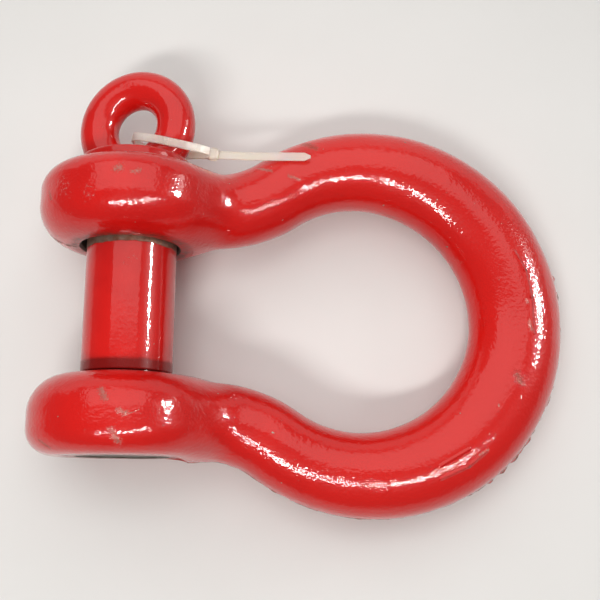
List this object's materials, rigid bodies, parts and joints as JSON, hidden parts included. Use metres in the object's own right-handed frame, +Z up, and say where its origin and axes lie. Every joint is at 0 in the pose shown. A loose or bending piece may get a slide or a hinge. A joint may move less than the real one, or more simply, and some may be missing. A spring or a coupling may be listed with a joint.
{
  "type": "screw pin anchor shackle",
  "caption": "Forged bow shackle closed by a screw pin with a looped eye, painted red, with a cable tie round the eye.",
  "frame": {"origin": "on the table, under the middle of the shackle's bounding box, with the bow resting on its two ears and its crown", "axes": "+Z up from the table, +X from the pin towards the crown of the bow, +Y along the pin axis towards the pin's eye"},
  "size_m": [0.3042, 0.2602, 0.1048],
  "materials": {
    "enamel": "gloss red enamel over forged steel, chipped in places",
    "nylon": "natural translucent nylon"
  },
  "bodies": {
    "bow": {"bow": "enamel"},
    "tie": {"cable_tie": "nylon"},
    "pin": {"screw_pin": "enamel"}
  },
  "joints": [
    {"name": "pin_travel", "type": "slide", "parent": "bow", "child": "tie", "axis": [0, 1, 0], "range_m": [0, 0.1755]},
    {"name": "pin_turn", "type": "hinge", "parent": "tie", "child": "pin", "pos_m": [-0.09979, -0.01596, 0.05248], "axis": [0, 1, 0], "range_deg": [0, 11160], "deforming": ["cable_tie"]}
  ],
  "couplings": [
    {"joint": "pin_travel", "follows": "pin_turn", "m_per_rad": 0.00089834}
  ]
}
